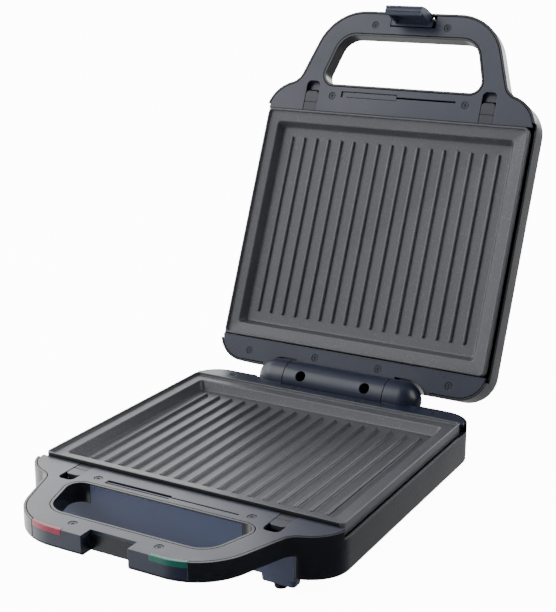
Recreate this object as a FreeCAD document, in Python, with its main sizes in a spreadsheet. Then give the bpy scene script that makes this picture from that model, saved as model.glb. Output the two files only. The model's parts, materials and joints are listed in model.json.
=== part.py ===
import FreeCAD, Part
import math
import os
import Sketcher
from FreeCAD import Placement, Rotation, Vector

# Panini press: two mirror-image halves hinged at the back. Each half is drawn lying face up
# in its own half frame: X to the right, Y from the front edge of its grill plate to the
# hinge, and Z = 0 in the plane where the two plates meet, with the half below it.
# The base is then lifted onto its feet. The lid is turned over and swung open.

doc = FreeCAD.newDocument("PaniniPress")
sheet = doc.addObject("Spreadsheet::Sheet", "Dimensions")

DIMENSIONS = [
    ("half_span", 139.7, "from the plate's front edge back to the middle of the open press"),
    ("floor_drop", 42.5, "from the closing plane down to the table"),
    ("open_angle", 112.8, "lid angle between closed and fully open"),
    ("hinge_reach", 228.7, "from the plate's front edge back to the hinge axis"),
    ("hinge_drop", 2.9, "hinge axis below the closing plane"),
    ("plate_width", 235, "grill plate across its raised lip"),
    ("plate_depth", 199.5, "grill plate front to back"),
    ("plate_gap", 0.2, "half the gap between the two plates when shut"),
    ("lip_height", 2.4, "raised lip above the plate's rim"),
    ("lip_width", 1.6, "thickness of the raised lip"),
    ("plate_skin", 3, "thickness of the cast plate"),
    ("skirt_depth", 9, "height of the plate's outer wall"),
    ("pan_margin", 10.6, "from the plate's edge to the grilling pan"),
    ("pan_depth", 7.7, "depth of the grilling pan"),
    ("pan_draft", 3.3, "how far the pan's walls lean in"),
    ("rib_count", 17, "grill ribs on a plate"),
    ("rib_pitch", 11.74, "spacing of the ribs"),
    ("rib_front", 21.4, "front end of the ribs"),
    ("rib_length", 155.6, "length of a rib"),
    ("rib_width", 3.4, "width of a rib at its foot"),
    ("rib_height", 2.3, "height of a rib"),
    ("body_width", 243, "cover across its sides"),
    ("body_rear", 221.5, "from the plate's front edge to the rear wall"),
    ("rear_round", 24, "radius of the rear corners"),
    ("shoulder_round", 29, "radius of the front shoulders"),
    ("root_width", 189.2, "width of the handle where it leaves the shoulders"),
    ("root_reach", 27.2, "how far in front of the plate the handle begins"),
    ("handle_reach", 90.4, "how far the handle stands in front of the plate"),
    ("handle_taper", 19, "angle by which the handle's sides lean in"),
    ("handle_round", 43, "radius of the handle's front corners"),
    ("opening_width", 146.8, "width of the hand opening at its back edge"),
    ("opening_back", 25.3, "back edge of the hand opening, in front of the plate"),
    ("opening_front", 68.8, "front edge of the hand opening, in front of the plate"),
    ("opening_taper", 16.7, "angle by which the opening's sides lean in"),
    ("bezel_drop", 2.5, "bezel face below the closing plane"),
    ("bezel_skin", 2.2, "thickness of the bezel"),
    ("bezel_inset", 2.3, "from the cover's outer edge to the bezel's edge"),
    ("wall", 1.7, "wall thickness of the covers"),
    ("side_drop", 8, "top of the side walls below the closing plane"),
    ("handle_bottom", 16.5, "underside of the handle below the closing plane"),
    ("base_depth", 32, "lower edge of the base cover below the closing plane"),
    ("lid_depth", 34, "top of the lid cover away from the closing plane"),
    ("tray_depth", 33.8, "underside of the bottom tray below the closing plane"),
    ("post_depth", 39.5, "underside of the foot posts below the closing plane"),
    ("barrel_radius", 15.2, "radius of the hinge barrel and knuckles"),
    ("barrel_half", 44.4, "half the length of the lid's hinge barrel"),
    ("knuckle_end", 72, "outer end of the base's hinge knuckles"),
    ("notch_half", 74.2, "half the width of the lid's notch for the knuckles"),
    ("notch_radius", 17.8, "radius of the lid's notch around the knuckles"),
    ("pin_radius", 3, "radius of the hinge pins"),
    ("clip_offset", 79.8, "plate clip from the middle"),
    ("clip_width", 12.3, "width of a clip's slot"),
    ("clip_front", 27, "front end of a clip's slot, in front of the plate"),
    ("clip_travel", 4.5, "how far a clip slides to free the plate"),
    ("tube_radius", 3.2, "radius of the heating element's tube"),
    ("tube_drop", 17, "axis of the heating element below the closing plane"),
    ("reflector_drop", 22.6, "underside of the reflector below the closing plane"),
    ("latch_half", 18.7, "half the width of the latch's frame"),
    ("latch_pin_reach", 83.6, "latch pivot in front of the plate"),
    ("latch_pin_drop", 8.4, "latch pivot below the lid's closing plane"),
]
for row, (alias, value, meaning) in enumerate(DIMENSIONS, start=1):
    sheet.set(f"A{row}", meaning)
    sheet.set(f"B{row}", str(value))
    sheet.setAlias(f"B{row}", alias)
doc.recompute()


def size(alias):
    """The value of one driving dimension."""
    return float(sheet.get(alias))


HINGE_Y = size("hinge_reach")
BASE_HINGE_Z = -size("hinge_drop")
LID_HINGE_Z = size("hinge_drop")
BEZEL_TOP = -size("bezel_drop")
BEZEL_UNDER = BEZEL_TOP - size("bezel_skin")
HANDLE_FLOOR = -size("handle_bottom") + size("wall")
SEAM = 0.2
SHEET = 0.7

SCREW_SPOTS = [(side * x, y) for x, y in
               ((32.5, -78.5), (60.2, -14.8), (90.5, 211.4), (28.7, 208.1)) for side in (-1, 1)]
COVER_SCREW_SPOTS = [(side * 115.9, y) for y in (8, 205) for side in (-1, 1)]
REFLECTOR_POSTS = [(side * 90, y) for y in (30, 172) for side in (-1, 1)]
FOOT_SPOTS = [(side * 84.3, y) for y in (-19.8, 209) for side in (-1, 1)]


def half_placements():
    """Where the two halves stand: the base on its feet, the lid turned over and open."""
    lift = Placement(Vector(0, -size("half_span"), size("floor_drop")), Rotation())
    turn_over = Placement(Vector(0, 0, 0), Rotation(Vector(0, 1, 0), 180))
    hinge = Vector(0, HINGE_Y, BASE_HINGE_Z)
    swing = Placement(Vector(0, 0, 0), Rotation(Vector(1, 0, 0), -size("open_angle")), hinge)
    return lift, lift * swing * turn_over


BASE, LID = half_placements()


# Sketch helpers -----------------------------------------------------------------------

def corner_list(right_half):
    """A full outline, counter-clockwise, from the corners of its right half, front to back."""
    left_half = [(-x, y, radius) for x, y, radius in reversed(right_half)]
    return right_half + left_half


def box_corners(x0, x1, y0, y1, radius=0):
    """The corners of a rectangle, each with the same rounding."""
    return [(x0, y0, radius), (x1, y0, radius), (x1, y1, radius), (x0, y1, radius)]


def inset(corners, distance):
    """The same outline moved inwards by a distance, or outwards when it is negative."""
    moved = []
    count = len(corners)
    for i, (x, y, radius) in enumerate(corners):
        before = Vector(*corners[i - 1][:2], 0)
        here = Vector(x, y, 0)
        after = Vector(*corners[(i + 1) % count][:2], 0)
        come = (here - before).normalize()
        leave = (after - here).normalize()
        turn = come.x * leave.y - come.y * leave.x
        inward = Vector(-come.y, come.x, 0) + Vector(-leave.y, leave.x, 0)
        shift = inward * (distance / (1 + come.dot(leave)))
        new_radius = radius - distance if turn > 0 else radius + distance
        moved.append((x + shift.x, y + shift.y, max(new_radius, 0) if radius else 0))
    return moved


def rounded(corners):
    """Lines and arcs of a closed outline whose corners are (x, y, radius)."""
    count = len(corners)
    starts, ends, middles = [], [], []
    for i, (x, y, radius) in enumerate(corners):
        here = Vector(x, y, 0)
        back = (Vector(*corners[i - 1][:2], 0) - here).normalize()
        ahead = (Vector(*corners[(i + 1) % count][:2], 0) - here).normalize()
        half_angle = back.getAngle(ahead) / 2
        reach = radius / math.tan(half_angle)
        bisector = (back + ahead).normalize() if radius else Vector(0, 0, 0)
        gap = radius / math.sin(half_angle) - radius
        starts.append(here + back * reach)
        ends.append(here + ahead * reach)
        middles.append(here + bisector * gap)
    shapes = []
    for i in range(count):
        if corners[i][2] > 0:
            shapes.append(Part.Arc(starts[i], middles[i], ends[i]))
        nearest = starts[(i + 1) % count]
        if ends[i].distanceToPoint(nearest) > 1e-6:
            shapes.append(Part.LineSegment(ends[i], nearest))
    return shapes


def plane(body, role):
    """One of a body's own origin planes."""
    return [f for f in body.Origin.OriginFeatures if f.Role == role][0]


def blank_sketch(body, role="XY_Plane", z="0", y="0"):
    """An empty sketch on an origin plane; z and y are expressions for where it lies."""
    sketch = body.newObject("Sketcher::SketchObject", "Sketch")
    sketch.AttachmentSupport = [(plane(body, role), "")]
    sketch.MapMode = "FlatFace"
    sketch.setExpression("AttachmentOffset.Base.z", z)
    sketch.setExpression("AttachmentOffset.Base.y", y)
    return sketch


def draw(sketch, shapes):
    """Add lines and arcs to a sketch and fix them where they are drawn."""
    first = sketch.GeometryCount
    sketch.addGeometry(shapes, False)
    fixed = [Sketcher.Constraint("Block", i) for i in range(first, sketch.GeometryCount)]
    sketch.addConstraint(fixed)
    return sketch


def outline_sketch(body, z, *outlines, role="XY_Plane"):
    """A sketch of one or more rounded outlines at the height given by an expression."""
    sketch = blank_sketch(body, role, z)
    for corners in outlines:
        draw(sketch, rounded(corners))
    return sketch


def bound_rectangle(body, z, left, right, front, back):
    """A rectangle whose four sides are bound to expressions."""
    sketch = blank_sketch(body, z=z)
    sheet_value = [float(sketch.evalExpression(side)) for side in (left, right, front, back)]
    x0, x1, y0, y1 = sheet_value
    points = [Vector(x0, y0, 0), Vector(x1, y0, 0), Vector(x1, y1, 0), Vector(x0, y1, 0)]
    for i in range(4):
        sketch.addGeometry(Part.LineSegment(points[i], points[(i + 1) % 4]), False)
    for i in range(4):
        sketch.addConstraint(Sketcher.Constraint("Coincident", i, 2, (i + 1) % 4, 1))
    for kind, line in (("Horizontal", 0), ("Horizontal", 2), ("Vertical", 1), ("Vertical", 3)):
        sketch.addConstraint(Sketcher.Constraint(kind, line))
    ties = [("DistanceX", 0, left, x0), ("DistanceX", 2, right, x1),
            ("DistanceY", 0, front, y0), ("DistanceY", 2, back, y1)]
    for kind, line, expression, value in ties:
        index = sketch.addConstraint(Sketcher.Constraint(kind, -1, 1, line, 1, value))
        sketch.setExpression(f"Constraints[{index}]", expression)
    return sketch


def circles_sketch(body, z, spots, radius, role="XY_Plane"):
    """Circles of one size at several spots; the radius is an expression bound to the sheet."""
    sketch = blank_sketch(body, role, z)
    value = float(sketch.evalExpression(radius))
    for index, (x, y) in enumerate(spots):
        sketch.addGeometry(Part.Circle(Vector(x, y, 0), Vector(0, 0, 1), value), False)
        tie = sketch.addConstraint(Sketcher.Constraint("Radius", index, value))
        sketch.setExpression(f"Constraints[{tie}]", radius)
        sketch.addConstraint(Sketcher.Constraint("DistanceX", -1, 1, index, 3, x))
        sketch.addConstraint(Sketcher.Constraint("DistanceY", -1, 1, index, 3, y))
    return sketch


# Feature helpers ----------------------------------------------------------------------

def new_body(name, placement):
    """An empty PartDesign body that will be written out under its own name."""
    body = doc.addObject("PartDesign::Body", name)
    body.Label = name
    body.Placement = placement
    return body


def finish_feature(body, feature, grows):
    """Recompute and make sure the feature really added or removed material."""
    before = volume_before(body)
    doc.recompute()
    change = body.Shape.Volume - before
    if (change <= 0.01) if grows else (change >= -0.01):
        raise RuntimeError(f"{body.Label}: {feature.Name} changed the volume by {change:.3f}")
    body_volume[body.Name] = body.Shape.Volume
    return feature


body_volume = {}


def volume_before(body):
    """The body's volume before its newest feature."""
    return body_volume.get(body.Name, 0.0)


def pad_down(body, sketch, depth):
    """Extrude a sketch downwards by the depth expression."""
    pad = body.newObject("PartDesign::Pad", "Pad")
    pad.Profile = sketch
    pad.Reversed = True
    pad.setExpression("Length", depth)
    return finish_feature(body, pad, True)


def pad_across(body, sketch, length):
    """Extrude a side-view sketch by the length expression, half to each side."""
    pad = body.newObject("PartDesign::Pad", "Pad")
    pad.Profile = sketch
    pad.Midplane = True
    pad.setExpression("Length", length)
    return finish_feature(body, pad, True)


def cut_down(body, sketch, depth):
    """Cut a sketch downwards by the depth expression."""
    pocket = body.newObject("PartDesign::Pocket", "Pocket")
    pocket.Profile = sketch
    pocket.setExpression("Length", depth)
    return finish_feature(body, pocket, False)


def cut_across(body, sketch, length):
    """Cut a side-view sketch by the length expression, half to each side."""
    pocket = body.newObject("PartDesign::Pocket", "Pocket")
    pocket.Profile = sketch
    pocket.Midplane = True
    pocket.setExpression("Length", length)
    return finish_feature(body, pocket, False)


def turn(body, shapes, hinge_z, cuts=False):
    """Revolve (or cut) a profile of (x, distance from the hinge axis) about the hinge axis."""
    sketch = blank_sketch(body, z=hinge_z, y="Dimensions.hinge_reach")
    draw(sketch, shapes)
    kind = "PartDesign::Groove" if cuts else "PartDesign::Revolution"
    feature = body.newObject(kind, "Turned")
    feature.Profile = sketch
    feature.ReferenceAxis = (sketch, ["H_Axis"])
    feature.Angle = 360
    return finish_feature(body, feature, not cuts)


def edges_at(shape, height, keep=lambda middle: True):
    """Names of the edges that lie level at one height."""
    names = []
    for index, edge in enumerate(shape.Edges, start=1):
        box = edge.BoundBox
        if abs(box.ZMin - height) < 0.01 and abs(box.ZMax - height) < 0.01 and keep(box.Center):
            names.append(f"Edge{index}")
    return names


def fillet_level(body, height, radius, keep=lambda middle: True):
    """Round every edge of the body that lies level at one height in its own frame."""
    before = body.Tip
    fillet = body.newObject("PartDesign::Fillet", "Fillet")
    fillet.Base = (before, edges_at(before.Shape, height, keep))
    fillet.Radius = radius
    doc.recompute()
    if "Invalid" in fillet.State or body.Shape.isNull():
        raise RuntimeError(f"{body.Label}: {fillet.Name} could not be rounded")
    body_volume[body.Name] = body.Shape.Volume
    return fillet


def solid_box(name, corner, lengths):
    """A plain block as a Part box: lowest corner and lengths."""
    block = doc.addObject("Part::Box", name)
    block.Length, block.Width, block.Height = lengths
    block.Placement.Base = Vector(*corner)
    return block


def solid_cylinder(name, radius, height, base, axis=Vector(0, 0, 1)):
    """A plain Part cylinder that starts at base and runs along axis."""
    rod = doc.addObject("Part::Cylinder", name)
    rod.Radius = radius
    rod.Height = height
    rod.Placement = Placement(Vector(*base), Rotation(Vector(0, 0, 1), axis))
    return rod


def fused(name, pieces):
    """Several Part solids made one."""
    whole = doc.addObject("Part::MultiFuse", name)
    whole.Shapes = pieces
    return whole


def cut_from(name, whole, tool):
    """One Part solid less another."""
    result = doc.addObject("Part::Cut", name)
    result.Base = whole
    result.Tool = tool
    return result


def grouped(name, pieces, placement):
    """Identical separate solids kept together as one sub-part."""
    group = doc.addObject("Part::Compound", name)
    group.Label = name
    group.Links = pieces
    group.Placement = placement
    return group


# Shared outlines of a half ------------------------------------------------------------

def cover_outline():
    """The outer edge of a cover: looped handle, shoulders, straight sides, round rear corners."""
    root_x = size("root_width") / 2
    root_y = -size("root_reach")
    front_y = -size("handle_reach")
    front_x = root_x - math.tan(math.radians(size("handle_taper"))) * (root_y - front_y)
    side_x = size("body_width") / 2
    shoulder_slope = math.tan(math.radians(20))
    shoulder_y = root_y + shoulder_slope * (side_x - root_x)
    return corner_list([
        (front_x, front_y, size("handle_round")),
        (root_x, root_y, 13),
        (side_x, shoulder_y, size("shoulder_round")),
        (side_x, size("body_rear"), size("rear_round")),
    ])


def opening_outline():
    """The hand opening in the handle."""
    back_x = size("opening_width") / 2
    back_y = -size("opening_back")
    front_y = -size("opening_front")
    lean = math.tan(math.radians(size("opening_taper")))
    front_x = back_x - lean * (back_y - front_y)
    return corner_list([(front_x, front_y, 17), (back_x, back_y, 9)])


def body_outline():
    """The deep box behind the handle: front wall, shoulders, sides and rear corners."""
    front_y = -size("opening_back")
    root_x, root_y, _ = cover_outline()[1]
    side_x, shoulder_y, shoulder_radius = cover_outline()[2]
    front_x = root_x + (front_y - root_y) * (side_x - root_x) / (shoulder_y - root_y)
    return corner_list([
        (front_x, front_y, 11),
        (side_x, shoulder_y, shoulder_radius),
        (side_x, size("body_rear"), size("rear_round")),
    ])


def front_strip(side, x0, x1, outer, inner):
    """A strip along the handle's front edge between two insets, ending at x0 and x1."""
    corner_x, corner_y, radius = cover_outline()[0]
    reach = radius / math.tan((math.pi / 2 + math.radians(size("handle_taper"))) / 2)
    bend_x = corner_x - reach
    centre_y = corner_y + radius

    def arc(distance, backwards):
        r = radius - distance
        points = []
        for x in (bend_x, (bend_x + x1) / 2, x1):
            points.append(Vector(side * x, centre_y - math.sqrt(r * r - (x - bend_x) ** 2), 0))
        if backwards:
            points.reverse()
        return Part.Arc(*points)

    outer_y, inner_y = corner_y + outer, corner_y + inner
    out_arc, in_arc = arc(outer, False), arc(inner, True)
    return [
        Part.LineSegment(Vector(side * x0, outer_y, 0), Vector(side * bend_x, outer_y, 0)),
        out_arc,
        Part.LineSegment(out_arc.EndPoint, in_arc.StartPoint),
        in_arc,
        Part.LineSegment(in_arc.EndPoint, Vector(side * x0, inner_y, 0)),
        Part.LineSegment(Vector(side * x0, inner_y, 0), Vector(side * x0, outer_y, 0)),
    ]


LENS_FROM, LENS_TO, LENS_INSET = 33, 58, 3.0


# Covers -------------------------------------------------------------------------------

def cover_shell(body, depth, floor):
    """Outer shell of a half: handle channel with its opening, and the deep body box."""
    wall = size("wall")
    rim = "-Dimensions.bezel_drop"
    pad_down(body, outline_sketch(body, rim, cover_outline()),
             "Dimensions.handle_bottom - Dimensions.bezel_drop")
    fillet_level(body, -size("handle_bottom"), 2.4)
    pad_down(body, outline_sketch(body, rim, body_outline()),
             f"Dimensions.{depth} - Dimensions.bezel_drop")
    fillet_level(body, -size(depth), 9 if floor else 1.2)
    cut_down(body, outline_sketch(body, rim, inset(cover_outline(), wall),
                                  inset(opening_outline(), -wall)),
             "Dimensions.handle_bottom - Dimensions.bezel_drop - Dimensions.wall")
    if floor:
        cut_down(body, outline_sketch(body, rim, inset(body_outline(), wall)),
                 f"Dimensions.{depth} - Dimensions.bezel_drop - 9")
        upper = outline_sketch(body, f"9.01 - Dimensions.{depth}", inset(body_outline(), wall))
        lower = outline_sketch(body, f"Dimensions.wall - Dimensions.{depth}",
                               inset(body_outline(), 7.5))
        hollow = body.newObject("PartDesign::SubtractiveLoft", "Loft")
        hollow.Profile = upper
        hollow.Sections = [lower]
        hollow.Ruled = True
        finish_feature(body, hollow, False)
    else:
        cut_down(body, outline_sketch(body, rim, inset(body_outline(), wall)),
                 f"Dimensions.{depth} - Dimensions.bezel_drop + 1")
    cut_down(body, outline_sketch(body, rim, opening_outline()),
             "Dimensions.handle_bottom - Dimensions.bezel_drop + 1")
    side_cuts = [box_corners(-130, -106, -4.5, 204), box_corners(106, 130, -4.5, 204)]
    cut_down(body, outline_sketch(body, "1", *side_cuts), "Dimensions.side_drop + 1")


def boss(body, spots, top, bottom, radius=3.4):
    """Screw bosses that stand on a floor, each with its pilot hole."""
    pad_down(body, circles_sketch(body, str(top), spots, str(radius)), str(top - bottom))
    cut_down(body, circles_sketch(body, str(top + 0.01), spots, "1.5"), str(top - bottom - 1))


def make_base_cover():
    body = new_body("base_cover", BASE)
    cover_shell(body, "base_depth", floor=False)
    rim = "-Dimensions.bezel_drop"
    handle_screws = [spot for spot in SCREW_SPOTS if spot[1] < -30]
    boss(body, handle_screws, BEZEL_UNDER - SEAM, HANDLE_FLOOR - 0.5)
    # The bottom tray's front wall shows through the opening and below the handle.
    window = "-Dimensions.bezel_drop - 0.9"
    cut_down(body, bound_rectangle(body, window, "-59.6", "59.6", "-27.5", "-22"),
             "Dimensions.base_depth")
    cut_down(body, bound_rectangle(body, "-Dimensions.handle_bottom", "-97.2", "97.2",
                                   "-27.5", "-22"), "Dimensions.base_depth")
    # Front wall: open for the bezel's own front wall, the latch notch and the two lenses.
    front = blank_sketch(body, z=rim)
    for side in (-1, 1):
        draw(front, front_strip(side, 15, LENS_TO + 2 * SEAM, -3, 2.2))
    cut_down(body, front, "Dimensions.handle_bottom - Dimensions.bezel_drop - Dimensions.wall")
    cut_down(body, bound_rectangle(body, rim, "-17.6", "17.6", "-95", "-80"),
             "Dimensions.handle_bottom")
    # Hinge: room for the bezel's cradle in the middle and for the knuckles beside it.
    cradle, knuckle = 17.5, size("barrel_radius") + SEAM
    inner, outer = size("barrel_half") + 1.6, size("knuckle_end") + 0.4
    profile = [(-outer, 0), (outer, 0), (outer, knuckle), (inner, knuckle), (inner, cradle),
               (-inner, cradle), (-inner, knuckle), (-outer, knuckle)]
    turn(body, rounded([(x, r, 0) for x, r in profile]), "-Dimensions.hinge_drop", cuts=True)
    # Side and back walls of the latch notch.
    notch = [box_corners(-19.4, -17.6, -88.2, -78.2), box_corners(17.6, 19.4, -88.2, -78.2)]
    under_bezel = str(BEZEL_UNDER - SEAM)
    height = str(BEZEL_UNDER - SEAM - HANDLE_FLOOR + 0.5)
    pad_down(body, outline_sketch(body, under_bezel, *notch), height)
    back_wall = box_corners(-18, 18, -80, -78.2)
    pad_down(body, outline_sketch(body, under_bezel, back_wall), height)
    # Bosses for the screws that come up through the bottom tray.
    boss_top = -15.0
    pad_down(body, circles_sketch(body, str(boss_top), COVER_SCREW_SPOTS, "4.2"), "16.6")
    bottom_up = circles_sketch(body, str(boss_top - 2), COVER_SCREW_SPOTS, "1.5")
    cut_down(body, bottom_up, "15")
    # Round hole for the cord's bushing.
    hole = circles_sketch(body, f"{-size('body_rear') - 3}", [(-85, -20)], "6.4", role="XZ_Plane")
    cord_hole = body.newObject("PartDesign::Pocket", "Pocket")
    cord_hole.Profile = hole
    cord_hole.Length = 8
    cord_hole.Reversed = True
    finish_feature(body, cord_hole, False)
    # Small posts that the plate clips' springs push against.
    posts = [box_corners(s * size("clip_offset") - 3, s * size("clip_offset") + 3, -28.6, -26.6)
             for s in (-1, 1)]
    pad_down(body, outline_sketch(body, "-8.1", *posts), str(-8.1 - HANDLE_FLOOR + 0.5))
    return body


def make_lid_cover():
    body = new_body("lid_cover", LID)
    cover_shell(body, "lid_depth", floor=True)
    floor = -size("lid_depth") + size("wall")
    handle_screws = [spot for spot in SCREW_SPOTS if spot[1] < -30]
    body_screws = [spot for spot in SCREW_SPOTS if spot[1] > -30]
    boss(body, handle_screws, BEZEL_UNDER - SEAM, HANDLE_FLOOR - 0.5)
    boss(body, body_screws, BEZEL_UNDER - SEAM, floor - 0.5)
    reflector_seat = -size("reflector_drop") - SEAM
    pad_down(body, circles_sketch(body, str(reflector_seat), REFLECTOR_POSTS, "4"),
             str(reflector_seat - floor + 0.5))
    # Pocket for the latch in the middle of the handle's front.
    cut_down(body, bound_rectangle(body, "-Dimensions.bezel_drop", "-16.4", "16.4", "-95", "-88"),
             "Dimensions.handle_bottom - Dimensions.bezel_drop - Dimensions.wall")
    # Hinge: room for the bezel's barrel and for the cradle round the base's knuckles.
    reach, half = size("notch_radius") + 1.8, size("notch_half") + 1.8
    profile = box_corners(-half, half, 0, reach)
    turn(body, rounded(profile), "Dimensions.hinge_drop", cuts=True)
    posts = [box_corners(s * size("clip_offset") - 3, s * size("clip_offset") + 3, -28.6, -26.6)
             for s in (-1, 1)]
    pad_down(body, outline_sketch(body, "-8.1", *posts), str(-8.1 - HANDLE_FLOOR + 0.5))
    return body


# Bezels -------------------------------------------------------------------------------

def bezel_frame(body, flip):
    """Flat inner face of a half: looped front, rear strip and the two rails that join them.

    flip is 1 in the base and -1 in the lid, whose half frame is turned over, so that the
    label slots lie on the same side of both."""
    top = "-Dimensions.bezel_drop"
    skin = "Dimensions.bezel_skin"
    edge = size("bezel_inset")
    pad_down(body, outline_sketch(body, top, inset(cover_outline(), edge),
                                  inset(opening_outline(), -edge)), skin)
    cut_down(body, bound_rectangle(body, "0", "-Dimensions.body_width", "Dimensions.body_width",
                                   "-0.8", "Dimensions.plate_depth + 0.8"), "10")
    rail_x0, rail_x1 = 109.2, 114.2
    rails, legs = [], []
    for side in (-1, 1):
        x0, x1 = sorted((side * rail_x0, side * rail_x1))
        rails.append(box_corners(x0, x1, -6, 206))
        legs.append(box_corners(x0, x1, -6, -1.2))
        legs.append(box_corners(x0, x1, 201, 206))
    pad_down(body, outline_sketch(body, f"{BEZEL_UNDER + 0.5}", *legs), "8.8")
    pad_down(body, outline_sketch(body, "-10.3", *rails), "2.7")
    half = size("clip_width") / 2
    front = -size("clip_front")
    slots = []
    for side in (-1, 1):
        x = side * size("clip_offset")
        slots.append([(x - half, front, 4), (x + half, front, 4), (x + half, 3, 0), (x - half, 3, 0)])
    cut_down(body, outline_sketch(body, top, *slots), "Dimensions.bezel_skin + 0.1")
    # Finger scoop in front of each clip: a low wall round the slot's end, and a floor.
    walls, floors = [], []
    for side in (-1, 1):
        x = side * size("clip_offset")
        outer = half + 1.1
        walls.append([(x - outer, front - 1.1, 5.1), (x + outer, front - 1.1, 5.1),
                      (x + outer, -22, 0), (x + half, -22, 0), (x + half, front, 4),
                      (x - half, front, 4), (x - half, -22, 0), (x - outer, -22, 0)])
        floors.append([(x - outer, front - 1.1, 5.1), (x + outer, front - 1.1, 5.1),
                       (x + outer, -19.9, 0), (x - outer, -19.9, 0)])
    pad_down(body, outline_sketch(body, f"{BEZEL_UNDER + 0.3}", *walls), "3.2")
    pad_down(body, outline_sketch(body, "-7.1", *floors), "0.7")
    wide_slot = box_corners(*sorted((-52 * flip, -0.5 * flip)), -19.3, -14.2)
    thin_slot = box_corners(*sorted((-0.7 * flip, 51.6 * flip)), -17.3, -15.9)
    through = "Dimensions.bezel_skin + 0.1"
    cut_down(body, outline_sketch(body, top, thin_slot), through)
    if flip > 0:
        cut_down(body, outline_sketch(body, top, wide_slot), through)
        pad_down(body, outline_sketch(body, "-3", box_corners(-52.2, -0.3, -17.3, -16.2)), "1.2")
    else:
        cut_down(body, outline_sketch(body, top, wide_slot), "1.4")
        pad_down(body, outline_sketch(body, "-2.9", box_corners(1, 47, -18.8, -14.6)), "1.2")


def screw_seats(body):
    """Sunken seats and through holes for the screws that hold a bezel to its cover."""
    top = "-Dimensions.bezel_drop"
    cut_down(body, circles_sketch(body, top, SCREW_SPOTS, "1.6"), "7")
    cut_down(body, circles_sketch(body, top, SCREW_SPOTS, "3.1"), "1.4")


def saddle(body, hinge_z, radius, half_length):
    """A thick strip along the rear edge, from which the hinge's round channel is then cut."""
    top = BEZEL_TOP
    rear = size("body_rear") - SEAM
    centre = Vector(HINGE_Y, hinge_z, 0)
    start_angle = math.pi - math.asin((top - hinge_z) / radius)
    end_angle = math.pi + math.acos((HINGE_Y - rear) / radius)

    def on_circle(angle):
        return centre + Vector(math.cos(angle), math.sin(angle), 0) * radius

    start, end = on_circle(start_angle), on_circle(end_angle)
    middle = on_circle((start_angle + end_angle) / 2)
    shapes = [
        Part.Arc(start, middle, end),
        Part.LineSegment(end, Vector(rear, top, 0)),
        Part.LineSegment(Vector(rear, top, 0), start),
    ]
    sketch = blank_sketch(body, "YZ_Plane")
    draw(sketch, shapes)
    pad_across(body, sketch, str(2 * half_length))


def domed_profile(bend, radius, inner):
    """Half section of a round-ended roller; with inner set it is two separate knuckles."""
    profiles = []
    for side in (-1, 1):
        start = max(inner, 0)
        round_end = Part.Arc(Vector(side * bend, radius, 0),
                             Vector(side * (bend + radius * math.sin(math.pi / 4)),
                                    radius * math.cos(math.pi / 4), 0),
                             Vector(side * (bend + radius), 0, 0))
        profiles += [
            Part.LineSegment(Vector(side * start, radius, 0), Vector(side * bend, radius, 0)),
            round_end,
            Part.LineSegment(Vector(side * (bend + radius), 0, 0), Vector(side * start, 0, 0)),
        ]
        if inner > 0:
            profiles.append(Part.LineSegment(Vector(side * inner, 0, 0),
                                             Vector(side * inner, radius, 0)))
    return profiles


def make_base_bezel():
    body = new_body("base_bezel", BASE)
    bezel_frame(body, 1)
    top = "-Dimensions.bezel_drop"
    # Notch for the latch, and the front walls that run from it under each lens.
    cut_down(body, bound_rectangle(body, top, "-17.6", "17.6", "-95", "-80"), "3")
    front_walls = blank_sketch(body, z=top)
    for side in (-1, 1):
        draw(front_walls, front_strip(side, 17.6, LENS_TO + SEAM, 0.2, 2))
    pad_down(body, front_walls, "11.8")
    shelf = [box_corners(-32.8, -17.6, -88.5, -88), box_corners(17.6, 32.8, -88.5, -88)]
    pad_down(body, outline_sketch(body, top, *shelf), "Dimensions.bezel_skin")
    lens_seats = blank_sketch(body, z=top)
    for side in (-1, 1):
        draw(lens_seats, front_strip(side, LENS_FROM - SEAM, LENS_TO + SEAM, -3, LENS_INSET + SEAM))
    cut_down(body, lens_seats, "3.8")
    # Hinge: a cradle under the lid's barrel, and a round-ended knuckle at each side of it.
    cradle_half = size("barrel_half") + 1.4
    saddle(body, BASE_HINGE_Z, 17.3, cradle_half)
    channel = size("barrel_radius") + 0.6
    ring = circles_sketch(body, "0", [(HINGE_Y, BASE_HINGE_Z)], str(channel), role="YZ_Plane")
    inner = size("barrel_half") + 0.6
    cut_across(body, ring, str(2 * inner))
    radius = size("barrel_radius")
    knuckles = domed_profile(size("knuckle_end") - radius, radius, inner)
    turn(body, knuckles, "-Dimensions.hinge_drop")
    bore = circles_sketch(body, "0", [(HINGE_Y, BASE_HINGE_Z)], "Dimensions.pin_radius + 0.01",
                          role="YZ_Plane")
    cut_across(body, bore, "128")
    screw_seats(body)
    return body


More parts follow.
